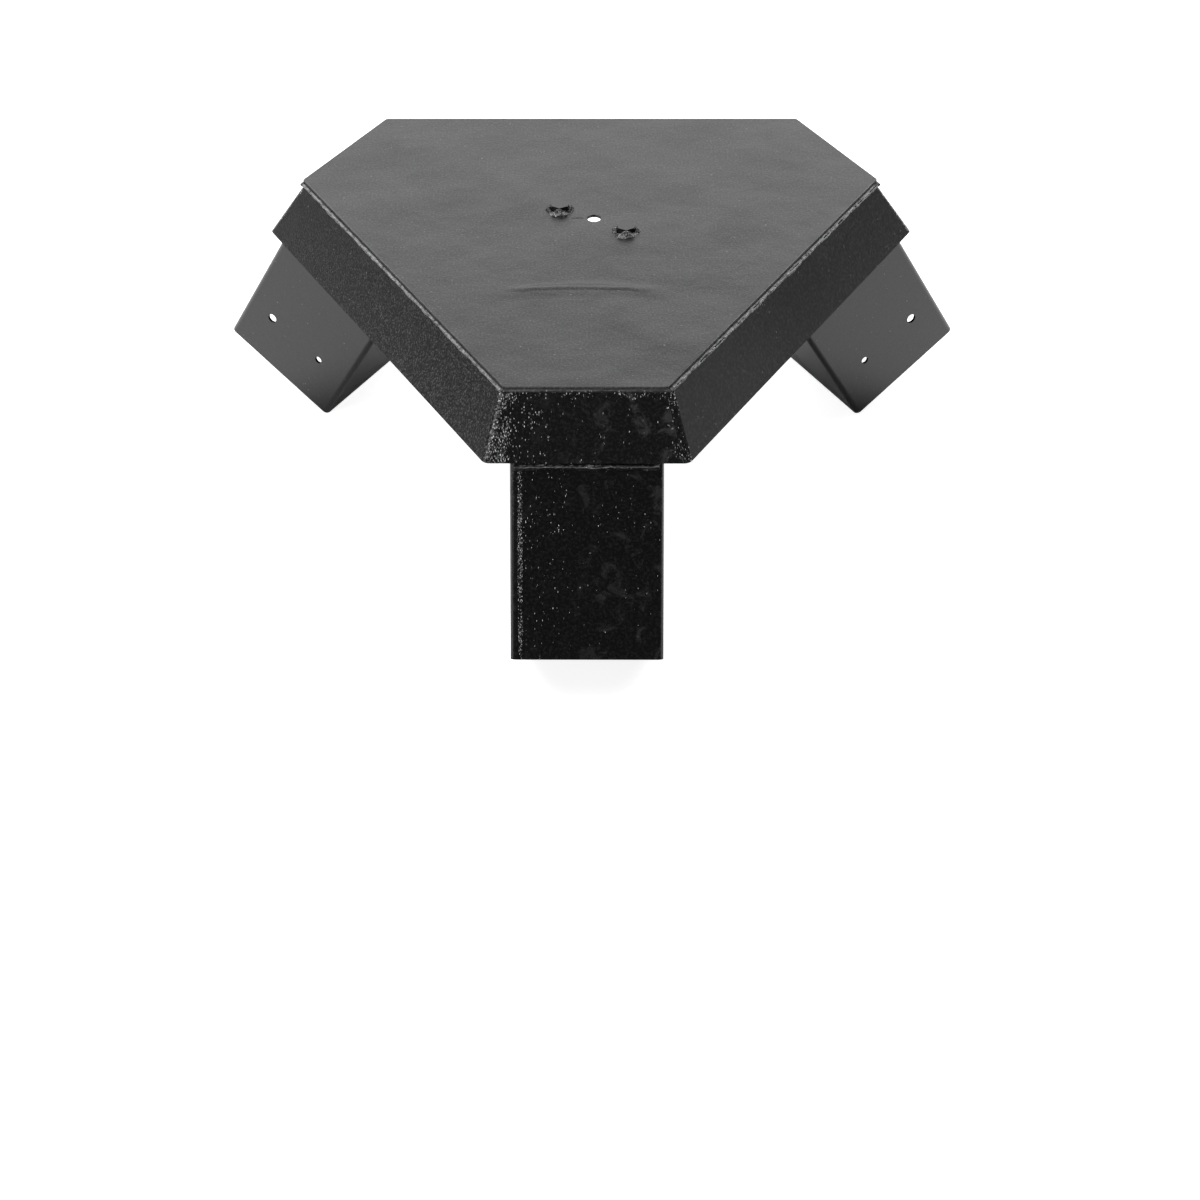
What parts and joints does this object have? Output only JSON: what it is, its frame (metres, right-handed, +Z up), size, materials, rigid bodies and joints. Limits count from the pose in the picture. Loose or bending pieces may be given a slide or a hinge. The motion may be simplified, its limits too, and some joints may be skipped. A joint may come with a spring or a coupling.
{
  "type": "three-way post bracket",
  "caption": "Welded steel head bracket with splayed square post sockets under a hooded triangular top plate, for joining the upper ends of posts into a frame",
  "frame": {"origin": "on the centre hole's axis, at the top face of the top plate", "axes": "+Z points up out of the top plate along the centre hole's axis, -Y points to the front socket"},
  "size_m": [0.5318, 0.4616, 0.202],
  "materials": {
    "coated_plate": "gloss black powder coat with fine orange peel on sheet steel",
    "coated_tube": "gloss black powder coat with fine orange peel on square steel tube",
    "coated_weld": "gloss black powder coat over weld metal",
    "coated_bolt": "gloss black powder coat over a hex bolt"
  },
  "bodies": {
    "root": {"top_plate": "coated_plate", "long_skirt_rear": "coated_plate", "long_skirt_left": "coated_plate", "long_skirt_right": "coated_plate", "short_skirt_front": "coated_plate", "short_skirt_rear_left": "coated_plate", "short_skirt_rear_right": "coated_plate", "socket_front": "coated_tube", "socket_rear_left": "coated_tube", "socket_rear_right": "coated_tube", "edge_bead_rear": "coated_weld", "edge_bead_left": "coated_weld", "edge_bead_right": "coated_weld", "edge_bead_front": "coated_weld", "edge_bead_rear_left": "coated_weld", "edge_bead_rear_right": "coated_weld", "corner_bead_front_to_left": "coated_weld", "corner_bead_front_to_right": "coated_weld", "corner_bead_rear_left_to_left": "coated_weld", "corner_bead_rear_left_to_rear": "coated_weld", "corner_bead_rear_right_to_rear": "coated_weld", "corner_bead_rear_right_to_right": "coated_weld", "collar_bead_front": "coated_weld", "collar_bead_rear_left": "coated_weld", "collar_bead_rear_right": "coated_weld", "root_bead_front": "coated_weld", "root_bead_rear_left": "coated_weld", "root_bead_rear_right": "coated_weld", "bolt_left": "coated_bolt", "bolt_right": "coated_bolt", "bolt_bead_left": "coated_weld", "bolt_bead_right": "coated_weld"}
  },
  "joints": []
}
